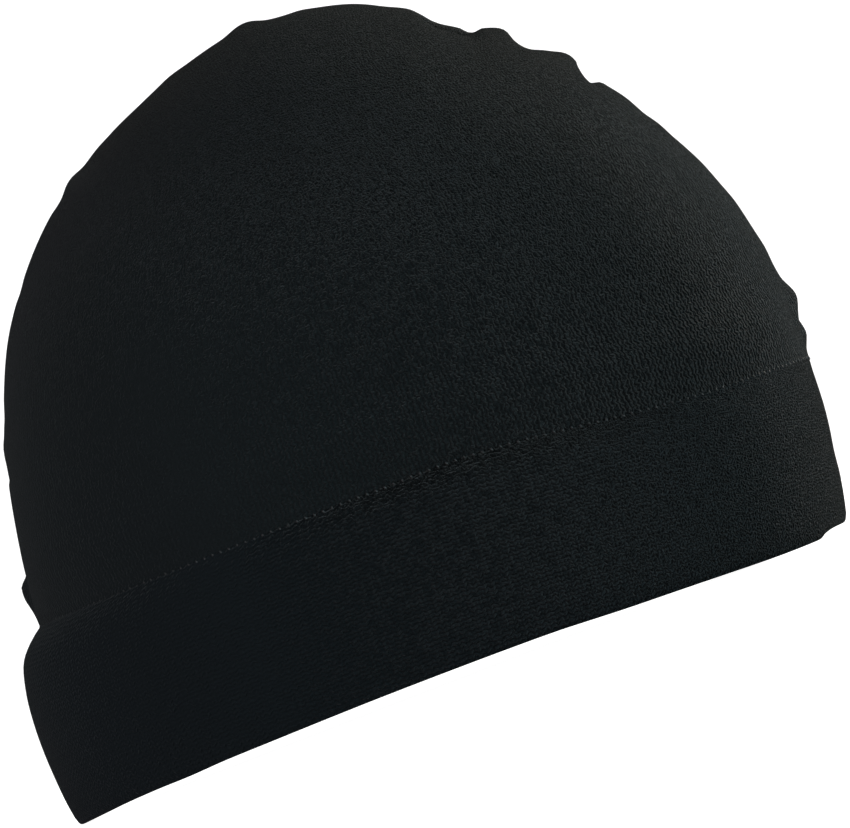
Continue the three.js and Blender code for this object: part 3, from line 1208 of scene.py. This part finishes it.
        below = face[:, :1, 2] - face[..., 2]
        tuck = self.tuck_depth * (1.0 - (below / self.tuck_reach).clip(0.0, 1.0)) ** 2
        outer = face - normal * (self.cloth / 2.0 + tuck)[..., None]
        inner = face - normal * (self.cloth / 2.0 + self.between)
        half = self.between / 2.0
        middle = self.cloth / 2.0 + half
        fold = []
        for turn in np.linspace(0.0, math.pi, self.fold_rows + 2)[1:-1]:
            row = face[:, -1] - plan * (middle - half * math.cos(turn))
            row[:, 2] = middle - half * math.sin(turn)
            fold.append(row)
        from_fold = face[0, :, 2] > middle + self.fold_room
        to_allowance = inner[0, :, 2] < face[0, 0, 2] - self.inner_end
        inner = inner[:, from_fold & to_allowance][:, ::-1]
        return outer[:, from_fold], np.stack(fold, axis=1), inner, below[:, from_fold]

    def build(self) -> bpy.types.Object:
        """Builds the band and its overlocking.

        Its rows run from the outer allowance down, round the fold and up to the inner allowance.

        Returns:
            The band.
        """
        form = self.form
        angle = math.pi + np.linspace(0.0, 2.0 * math.pi, self.columns + 1)
        plan = self.outwards(angle)
        outer, fold, inner, below = self.layers(angle, plan)
        deeper = self.cloth + self.allowance_gap
        outer_edge = [self.inside_crown(angle, up, back) for up, back in self.allowance_rows]
        # The inner layer goes straight from its face to its allowance, without the two lowest rows.
        high_rows = self.allowance_rows[:-2]
        inner_edge = [self.inside_crown(angle, up, back + deeper) for up, back in high_rows]
        rows = [np.stack(outer_edge, axis=1), outer, fold, inner, np.stack(inner_edge[::-1], axis=1)]
        points = np.concatenate(rows, axis=1)
        on_face = slice(len(outer_edge), len(outer_edge) + outer.shape[1])
        face = points[:, on_face]

        off_join = np.minimum(np.abs(angle - math.pi), np.abs(angle - 3.0 * math.pi))
        aside = off_join * abs(form.band_top.back - form.widest_x)
        groove = self.join_depth * (1.0 - (aside / self.join_half).clip(0.0, 1.0)) ** 2
        fade = np.ones(face.shape[1])
        fade[-len(self.join_fade):] = self.join_fade
        face -= plan[:, None, :] * (groove[:, None] * fade)[..., None]
        low = (1.0 - points[..., 2] / self.top_height(angle)[:, None]).clip(0.0, 1.0)
        points[..., 2] += self.lift(points[..., 0]) * low**self.lift_curve

        run = run_along(points[:, points.shape[1] // 4])
        down = run_along(points[self.columns // 4])
        centred = np.broadcast_arrays(run[:, None] - run[-1] / 2.0, down[None, :] - down[-1] / 2.0)
        # Painted seam shade, on the outer face only.
        seam_shade_depth = np.zeros(points.shape[:2])
        seam_shade_depth[:, on_face] = self.shade.band(face[..., 0], below, aside)
        self.piece = cloth_piece("band_cloth", points, np.stack(centred, axis=-1), seam_shade_depth)
        thicken(self.piece, self.cloth, 0.0)
        self.edge_threads = self.edge_stitches()
        return self.piece

    def edge_stitches(self) -> bpy.types.Object:
        """Makes the overlocking over the band's raw edges, inside the crown.

        Returns:
            The threads.
        """
        angle = np.linspace(0.0, 2.0 * math.pi, self.samples[2])
        seam = np.concatenate([self.form.top_oval(angle), np.zeros((len(angle), 1))], axis=1)
        run = run_along(seam)
        count = round(run[-1] / self.edge_pitch)
        pitch = run[-1] / count
        top, outer = self.allowance_rows[0]
        face = outer + 1.5 * self.cloth + self.allowance_gap
        # Share of the pitch, height above the seam and depth behind the crown's outer face.
        thread = (
            (0.0, top - 3.0, face - 0.15),
            (0.06, top - 2.9, face + 0.12),
            (0.3, top - 1.2, face + 0.16),
            (0.5, top + 0.1, face + 0.14),
            (0.56, top + 0.3, face - 0.5),
            (0.6, top + 0.3, outer - 0.1),
            (0.72, top + 0.3, outer + 0.2),
            (0.76, top + 0.25, face - 0.3),
            (0.8, top, face + 0.14),
            (0.9, top - 1.2, face + 0.16),
            (0.98, top - 2.9, face + 0.12),
            (1.0, top - 3.0, face - 0.15),
        )
        share, up, back = (np.array(column) for column in zip(*thread))
        row = ThreadRow("band_edge_threads", radius=self.edge_radius)
        for i in range(count):
            at = np.interp((i + share) * pitch, run, angle)
            row.stitch(self.inside_crown(at, up, back), -self.outwards(at))
        return row.finish()

    def dress(self, cloth: bpy.types.Material, thread: bpy.types.Material) -> None:
        """Gives the band its cloth and thread, hangs them on the cap's body and hides the imported part
        that it stands for.

        Args:
            cloth: Finish of the cloth.
            thread: Finish of the overlocking.
        """
        self.piece.data.materials.append(cloth)
        self.edge_threads.data.materials.append(thread)
        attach(self.edge_threads, "root")
        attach(self.piece, "root")
        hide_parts("band")


class Nodes:
    """A short way to add and link shader nodes."""

    def __init__(self, tree: bpy.types.NodeTree) -> None:
        """Keeps the node tree that nodes are added to."""
        self.tree = tree

    def add(self, kind: str, inputs: dict | None = None, **settings: object) -> bpy.types.Node:
        """Adds a node.

        Args:
            kind: The node's type name.
            inputs: Values or sockets for its inputs, by name or number.
            **settings: The node's own properties.

        Returns:
            The node.
        """
        node = self.tree.nodes.new(kind)
        for name, value in settings.items():
            setattr(node, name, value)
        for name, value in (inputs or {}).items():
            if isinstance(value, bpy.types.NodeSocket):
                self.tree.links.new(value, node.inputs[name])
            else:
                node.inputs[name].default_value = value
        return node

    def math(self, operation: str, a: object, b: object = 0.0, c: object = 0.0) -> bpy.types.NodeSocket:
        """Adds a Math node and gives its result."""
        return self.add("ShaderNodeMath", {0: a, 1: b, 2: c}, operation=operation).outputs[0]

    def wave(self, turns: bpy.types.NodeSocket) -> bpy.types.NodeSocket:
        """Adds a cosine wave from 0 to 1 that peaks at each whole number of turns."""
        cosine = self.math("COSINE", self.math("MULTIPLY", turns, 2.0 * math.pi))
        return self.math("MULTIPLY_ADD", cosine, 0.5, 0.5)

    def span(
        self, value: bpy.types.NodeSocket, start: float, end: float, low: float, high: float
    ) -> bpy.types.NodeSocket:
        """Adds a Map Range node and gives its result.

        Args:
            value: What is mapped.
            start: Value where the result is low.
            end: Value where it is high.
            low: The low result.
            high: The high one.

        Returns:
            The result, which stays between the two.
        """
        node = self.add("ShaderNodeMapRange", {"Value": value, 1: start, 2: end, 3: low, 4: high})
        return node.outputs[0]

    def mix(self, share: bpy.types.NodeSocket, first: object, second: object) -> bpy.types.NodeSocket:
        """Adds a Mix node for two colours.

        Args:
            share: Share of the second colour.
            first: The first colour, as a socket or as red, green and blue.
            second: The second one.

        Returns:
            The mixed colour.
        """
        inputs = {0: share}
        for number, colour in ((6, first), (7, second)):
            inputs[number] = (*colour, 1.0) if isinstance(colour, tuple) else colour
        return self.add("ShaderNodeMix", inputs, data_type="RGBA").outputs[2]

    def show(self, shader: bpy.types.Node, output: str = "ShaderNodeOutputMaterial") -> None:
        """Adds an output and links a shader to it."""
        self.add(output, {0: shader.outputs[0]})


def new_material(name: str) -> tuple[bpy.types.Material, Nodes]:
    """Makes a material with an empty node tree.

    Args:
        name: Name of the material.

    Returns:
        The material and the way to add its nodes.
    """
    made = bpy.data.materials.new(name)
    made.use_nodes = True
    made.node_tree.nodes.clear()
    return made, Nodes(made.node_tree)


@dataclass(frozen=True)
class KnitPattern:
    """The shader node group of the knit: wales that lean left and right from course to course.

    Attributes:
        name: Name of the group.
        inputs: Its number inputs, with their first values.
        drift: Scale and detail of the noise that shifts patches of loops.
        jitter: Scale and detail of the noise that shifts single loops.
        fibre: Scale and detail of the noise of loose fibres.
        drifting: How far patches shift, against single loops.
        bend: How far a loop's course line bends down at the middle of its wale, in courses.
        beat: How much the height changes along a wale, and its least share.
        smallest: Height of the lowest loops, against that of plain ones.
        fuzz: Height of the loose fibres, against that of the loops.
    """

    name: str = "knit_pattern"
    inputs: tuple[tuple[str, float], ...] = (
        ("Wale", 1.0),
        ("Course", 0.8),
        ("Lean", 0.16),
        ("Unevenness", 0.26),
        ("Chance", 1.6),
    )
    drift: tuple[float, float] = (0.35, 2.0)
    jitter: tuple[float, float] = (1.15, 1.0)
    fibre: tuple[float, float] = (1.6, 2.0)
    drifting: float = 3.0
    bend: float = 0.7
    beat: tuple[float, float] = (0.42, 0.58)
    smallest: float = 0.6
    fuzz: float = 1.6

    def build(self) -> bpy.types.NodeTree:
        """Builds the group.

        Returns:
            The group, which takes a place in the flat knit in mm and puts out the knit's height there.
        """
        tree = bpy.data.node_groups.new(self.name, "ShaderNodeTree")
        sockets = tree.interface
        sockets.new_socket("Place", in_out="INPUT", socket_type="NodeSocketVector")
        for name, value in self.inputs:
            made = sockets.new_socket(name, in_out="INPUT", socket_type="NodeSocketFloat")
            made.default_value = value
        sockets.new_socket("Height", in_out="OUTPUT", socket_type="NodeSocketFloat")
        nodes = Nodes(tree)
        given = nodes.add("NodeGroupInput").outputs
        place = given["Place"]
        drift, jitter, fibre = (
            nodes.add("ShaderNodeTexNoise", {"Vector": place, "Scale": scale, "Detail": detail})
            for scale, detail in (self.drift, self.jitter, self.fibre)
        )
        split = nodes.add("ShaderNodeSeparateXYZ", {0: place})
        wander = nodes.math("SUBTRACT", drift.outputs["Fac"], 0.5)
        shake = nodes.add("ShaderNodeSeparateColor", {0: jitter.outputs["Color"]})
        pushed = []
        for axis, pitch, channel in (("X", "Wale", "Red"), ("Y", "Course", "Green")):
            shaken = nodes.math("MULTIPLY_ADD", shake.outputs[channel], 2.0, -1.0)
            both = nodes.math("MULTIPLY_ADD", wander, self.drifting, shaken)
            even = nodes.math("DIVIDE", split.outputs[axis], given[pitch])
            pushed.append(nodes.math("MULTIPLY_ADD", both, given["Unevenness"], even))
        wale, course = pushed
        # Every other course leans the other way.
        swing = nodes.math("SINE", nodes.math("MULTIPLY", course, math.pi))
        leaning = nodes.math("MULTIPLY_ADD", swing, given["Lean"], wale)
        # Each loop is a V, so its course line bends down at the middle of the wale.
        loop = nodes.math("MULTIPLY_ADD", nodes.math("PINGPONG", leaning, 0.5), self.bend, course)
        beat = nodes.math("MULTIPLY_ADD", nodes.wave(loop), *self.beat)
        body = nodes.math("MULTIPLY", nodes.wave(leaning), beat)
        # No two loops are quite alike.
        number = nodes.add("ShaderNodeCombineXYZ", {
            0: nodes.math("ROUND", leaning),
            1: nodes.math("ROUND", loop),
        })
        luck = nodes.add("ShaderNodeTexWhiteNoise", {0: number.outputs[0]}, noise_dimensions="2D")
        size = nodes.math("MULTIPLY_ADD", luck.outputs["Value"], given["Chance"], self.smallest)
        body = nodes.math("MULTIPLY", body, size)
        height = nodes.math("MULTIPLY_ADD", fibre.outputs["Fac"], self.fuzz, body)
        nodes.add("NodeGroupOutput", {"Height": height})
        return tree


@dataclass(frozen=True)
class KnitFinish:
    """The near-black knit.

    Attributes:
        name: Name of the material.
        wale: Spacing of the wales, mm.
        course: Spacing of the courses, mm.
        turned: Whether the wales run round the cap instead of up it.
        deep: Colour between the loops, darker than their crests as painted shade.
        crest: Colour of the loops' crests.
        relief: Height of the loops, mm.
        uneven: How unevenly the loops lie, low and higher up the crown.
        uneven_up: Heights above the band seam where these hold, mm.
        uneven_seam: How much more unevenly they lie deep in a seam.
        uneven_front: How much more unevenly they lie at the front.
        front: X between which that begins, mm.
        contrast: How far the loops stand out at the back and at the front.
        lengthwise: X where these hold, mm.
        bolder: How many times further they stand out high up the crown.
        bolder_up: Heights above the band seam between which that begins, mm.
        seam: Colour of the painted shade deep in a seam.
        seam_shade_share: Share of that colour there.
        roughness: Roughness between the loops and on their crests.
        specular: Strength of the mirror-like reflection.
        sheen: Strength of the fibres' sheen.
        sheen_rough: Its roughness.
        sheen_tint: Its colour.
    """

    name: str
    wale: float
    course: float
    turned: bool = False
    deep: tuple[float, float, float] = (0.0012, 0.0017, 0.0018)
    crest: tuple[float, float, float] = (0.0140, 0.0192, 0.0202)
    relief: float = 0.75
    uneven: tuple[float, float] = (0.53, 0.95)
    uneven_up: tuple[float, float] = (17.0, 42.0)
    uneven_seam: float = 0.6
    uneven_front: float = 0.0
    front: tuple[float, float] = (25.0, 80.0)
    contrast: tuple[float, float] = (0.15, 1.3)
    lengthwise: tuple[float, float] = (-45.0, 80.0)
    bolder: float = 2.4
    bolder_up: tuple[float, float] = (45.0, 95.0)
    seam: tuple[float, float, float] = (0.0002, 0.0003, 0.0003)
    seam_shade_share: float = 0.92
    roughness: tuple[float, float] = (0.9, 0.62)
    specular: float = 0.035
    sheen: float = 0.055
    sheen_rough: float = 0.45
    sheen_tint: tuple[float, float, float] = (0.95, 1.0, 0.99)

    def material(self, pattern: bpy.types.NodeTree) -> bpy.types.Material:
        """Builds the material.

        Args:
            pattern: The knit's node group.

        Returns:
            The material.
        """
        made, nodes = new_material(self.name)
        place = nodes.add("ShaderNodeMapping", {
            "Vector": nodes.add("ShaderNodeUVMap", uv_map=KNIT_UV).outputs[0],
            "Rotation": (0.0, 0.0, math.pi / 2.0 if self.turned else 0.0),
            "Scale": (UV_SPAN, UV_SPAN, UV_SPAN),
        }).outputs[0]
        up_map = nodes.add("ShaderNodeSeparateXYZ", {0: place}).outputs["Y"]
        up = nodes.math("SUBTRACT", up_map, UV_SPAN / 2.0)
        on_cap = nodes.add("ShaderNodeTexCoord").outputs["Object"]
        along = nodes.math("DIVIDE", nodes.add("ShaderNodeSeparateXYZ", {0: on_cap}).outputs["X"], MM)
        depth = nodes.add("ShaderNodeAttribute", attribute_name=SEAM_SHADE_DEPTH, attribute_type="GEOMETRY")
        seam_shade_depth = depth.outputs["Fac"]

        # The cloth is less even where it is more stretched, up the crown, and in its seams.
        uneven = nodes.span(up, *self.uneven_up, *self.uneven)
        uneven = nodes.math("MULTIPLY_ADD", seam_shade_depth, self.uneven_seam, uneven)
        uneven = nodes.math("ADD", uneven, nodes.span(along, *self.front, 0.0, self.uneven_front))
        group = nodes.add("ShaderNodeGroup", node_tree=pattern)
        for name, value in (("Wale", self.wale), ("Course", self.course)):
            group.inputs[name].default_value = value
        for name, socket in (("Place", place), ("Unevenness", uneven)):
            made.node_tree.links.new(socket, group.inputs[name])

        # The loops stand out less towards the back of the cap, and more up the crown, and so does the
        # painted shade between them.
        bold = nodes.span(along, *self.lengthwise, *self.contrast)
        bold = nodes.math("MULTIPLY", bold, nodes.span(up, *self.bolder_up, 1.0, self.bolder))
        from_mean = nodes.math("SUBTRACT", group.outputs["Height"], MEAN_HEIGHT)
        height = nodes.math("MULTIPLY_ADD", from_mean, bold, MEAN_HEIGHT)
        # Painted shade between the loops: the colour runs from deep to crest with the knit's height.
        colour = nodes.mix(nodes.span(height, *HEIGHT_SPAN, 0.0, 1.0), self.deep, self.crest)
        # Painted shade: the colour darkens towards the seam colour where the cloth lies deep in a seam.
        painted_seam_shade = nodes.math("MULTIPLY", nodes.math("POWER", seam_shade_depth, 2.0), self.seam_shade_share)
        bump = nodes.add("ShaderNodeBump", {"Height": height, "Distance": self.relief * MM})
        nodes.show(nodes.add("ShaderNodeBsdfPrincipled", {
            "Base Color": nodes.mix(painted_seam_shade, colour, self.seam),
            "Roughness": nodes.span(height, *HEIGHT_SPAN, *self.roughness),
            "Normal": bump.outputs[0],
            "Specular IOR Level": self.specular,
            "Sheen Weight": self.sheen,
            "Sheen Roughness": self.sheen_rough,
            "Sheen Tint": (*self.sheen_tint, 1.0),
        }))
        return made


@dataclass(frozen=True)
class ThreadFinish:
    """The black polyester thread, twisted from two plies.

    Attributes:
        name: Name of the material.
        dark: Colour between the plies, darker than their crests as painted shade.
        light: Colour of their crests.
        ply: Distance from one ply's crest to the next along the thread, mm.
        lay: Angles that turn the plies' waves across the thread.
        wobble: How unevenly they run.
        relief: Height of the plies, mm.
        roughness: The thread's roughness.
        specular: Strength of its mirror-like reflection.
    """

    name: str = "thread_finish"
    dark: tuple[float, float, float] = (0.004, 0.005, 0.0048)
    light: tuple[float, float, float] = (0.026, 0.030, 0.029)
    ply: float = 0.7
    lay: tuple[float, float, float] = (0.6, 0.5, 0.7)
    wobble: float = 1.5
    relief: float = 0.05
    roughness: float = 0.45
    specular: float = 0.3

    def material(self) -> bpy.types.Material:
        """Builds the material.

        Returns:
            The material.
        """
        made, nodes = new_material(self.name)
        place = nodes.add("ShaderNodeTexCoord").outputs["Object"]
        turned = nodes.add("ShaderNodeMapping", {"Vector": place, "Rotation": self.lay})
        # A wave texture of scale 1 repeats every pi / 10 metres.
        plies = nodes.add("ShaderNodeTexWave", {
            "Vector": turned.outputs[0],
            "Scale": math.pi / 10.0 / (self.ply * MM),
            "Distortion": self.wobble,
        }).outputs["Fac"]
        bump = nodes.add("ShaderNodeBump", {"Height": plies, "Distance": self.relief * MM})
        # Painted shade between the plies: the colour runs from dark to light with their wave.
        nodes.show(nodes.add("ShaderNodeBsdfPrincipled", {
            "Base Color": nodes.mix(plies, self.dark, self.light),
            "Normal": bump.outputs[0],
            "Roughness": self.roughness,
            "Specular IOR Level": self.specular,
        }))
        return made


@dataclass
class Studio:
    """A white studio with soft lights all round, and the camera low on the cap's right.

    Attributes:
        eye: Where the camera stands, mm.
        target: The point in the middle of the picture, mm.
        picture_width: Width of what the picture shows at the target, mm.
        roll: How far the cap looks turned, in degrees.
        sensor: Width of the camera's sensor, mm.
        sight: How far the camera sees, m.
        floor_side: Half the floor's side, m.
        floor_grey: The floor's colour.
        floor_rough: Its roughness.
        floor_glow: How brightly it glows to the camera.
        seen: Brightness of the surroundings behind the cap.
        cast: Brightness of the light that they cast.
        spread: How wide each light looks from the cap, in degrees.
        lights: Name, azimuth, height, strength and colour of each light.
    """

    eye: tuple[float, float, float] = (10.46, -2200.0, 13.65)
    target: tuple[float, float, float] = (10.46, 0.0, 62.25)
    picture_width: float = 204.13
    roll: float = 21.16
    sensor: float = 36.0
    sight: float = 100.0
    floor_side: float = 12.0
    floor_grey: float = 0.6
    floor_rough: float = 0.9
    floor_glow: float = 1.0
    seen: float = 1.2
    cast: float = 0.06
    spread: float = 25.0
    lights: tuple[tuple[str, float, float, float, tuple[float, float, float]], ...] = (
        ("front_fill", -25.0, 12.0, 1.75, (0.60, 0.86, 1.0)),
        ("side_fill", -80.0, 12.0, 0.81, (0.93, 0.98, 0.95)),
        ("back_fill", -145.0, 12.0, 1.4, (0.97, 0.86, 1.0)),
        ("brow_rim", 40.0, 35.0, 1.62, (1.0, 0.943, 0.81)),
        ("low_rim", 40.0, 12.0, 1.12, (1.0, 0.88, 0.79)),
    )

    def camera(self) -> None:
        """Makes the camera."""
        eye = Vector(self.eye) * MM
        gaze = Vector(self.target) * MM - eye
        data = bpy.data.cameras.new("camera")
        data.sensor_width = self.sensor
        data.lens = self.sensor * gaze.length / (self.picture_width * MM)
        data.clip_end = self.sight
        made = bpy.data.objects.new("camera", data)
        turn = gaze.to_track_quat("-Z", "Y").to_matrix().to_4x4()
        roll = Matrix.Rotation(math.radians(-self.roll), 4, "Z")
        made.matrix_world = Matrix.Translation(eye) @ turn @ roll
        bpy.context.scene.collection.objects.link(made)
        bpy.context.scene.camera = made

    def floor(self) -> None:
        """Makes the pale floor."""
        mesh = bmesh.new()
        bmesh.ops.create_grid(mesh, x_segments=1, y_segments=1, size=self.floor_side)
        made = new_object("studio_floor", mesh)
        paint, nodes = new_material("studio_floor")
        # The floor glows a little, and only to the camera, so that it is as white as the background.
        to_camera = nodes.add("ShaderNodeLightPath").outputs["Is Camera Ray"]
        nodes.show(nodes.add("ShaderNodeBsdfPrincipled", {
            "Emission Color": nodes.span(to_camera, 0.0, 1.0, 0.0, self.floor_glow),
            "Base Color": (self.floor_grey, self.floor_grey, self.floor_grey, 1.0),
            "Roughness": self.floor_rough,
            "Specular IOR Level": 0.0,
            "Emission Strength": 1.0,
        }))
        made.data.materials.append(paint)

    def light(
        self, name: str, azimuth: float, height: float, power: float, colour: tuple[float, float, float]
    ) -> None:
        """Adds a soft light that comes from far away.

        Args:
            name: Name of the light.
            azimuth: Where it comes from, in degrees from the forehead's side towards the left.
            height: How high it stands, in degrees.
            power: Its strength in watts per square metre.
            colour: Its colour.
        """
        data = bpy.data.lights.new(name, "SUN")
        data.angle = math.radians(self.spread)
        data.energy = power
        data.color = colour
        made = bpy.data.objects.new(name, data)
        turn = math.radians(azimuth)
        rise = math.radians(height)
        level = math.cos(rise)
        towards = Vector((math.cos(turn) * level, math.sin(turn) * level, math.sin(rise)))
        aim = towards.to_track_quat("Z", "Y").to_matrix().to_4x4()
        made.matrix_world = Matrix.Translation(towards) @ aim
        bpy.context.scene.collection.objects.link(made)

    def world(self) -> None:
        """Makes the white surroundings."""
        made = bpy.data.worlds.new("studio")
        made.use_nodes = True
        made.node_tree.nodes.clear()
        nodes = Nodes(made.node_tree)
        to_camera = nodes.add("ShaderNodeLightPath").outputs["Is Camera Ray"]
        nodes.show(nodes.add("ShaderNodeBackground", {
            "Color": (1.0, 1.0, 1.0, 1.0),
            "Strength": nodes.span(to_camera, 0.0, 1.0, self.cast, self.seen),
        }), "ShaderNodeOutputWorld")
        bpy.context.scene.world = made

    def build(self) -> None:
        """Builds the studio."""
        self.camera()
        self.floor()
        self.world()
        for row in self.lights:
            self.light(*row)
        bpy.context.scene.view_settings.view_transform = "Standard"


def report(piece: bpy.types.Object) -> None:
    """Logs a piece's size.

    Args:
        piece: The piece.
    """
    low = Vector(piece.bound_box[0])
    high = Vector(piece.bound_box[6])
    size = (high - low) / MM
    LOG.info("%s: %.1f x %.1f x %.1f mm, %d faces", piece.name, *size, len(piece.data.polygons))


def main() -> None:
    """Builds the cap and the studio around it."""
    logging.basicConfig(level=logging.INFO, format="%(name)s: %(message)s")
    form = CapForm()
    Studio().build()
    pattern = KnitPattern().build()
    crown_cloth = KnitFinish("crown_knit_finish", wale=1.18, course=0.78).material(pattern)
    band_cloth = KnitFinish(
        "band_knit_finish",
        wale=1.01,
        course=1.02,
        turned=True,
        relief=1.15,
        uneven=(0.3, 0.3),
        uneven_front=0.5,
        bolder=1.0,
        contrast=(0.15, 2.1),
        sheen=0.045,
        sheen_tint=(0.9, 1.0, 1.0),
        deep=(0.0012, 0.0018, 0.0021),
        crest=(0.0122, 0.0174, 0.0194),
    ).material(pattern)
    thread = ThreadFinish().material()

    band = Band(form)
    report(band.build())
    report(band.edge_threads)
    band.dress(band_cloth, thread)
    for side in Side:
        panel = CrownPanel(form, side)
        report(panel.build())
        report(panel.stitches)
        panel.dress(crown_cloth, thread)


if __name__ == "__main__":
    main()
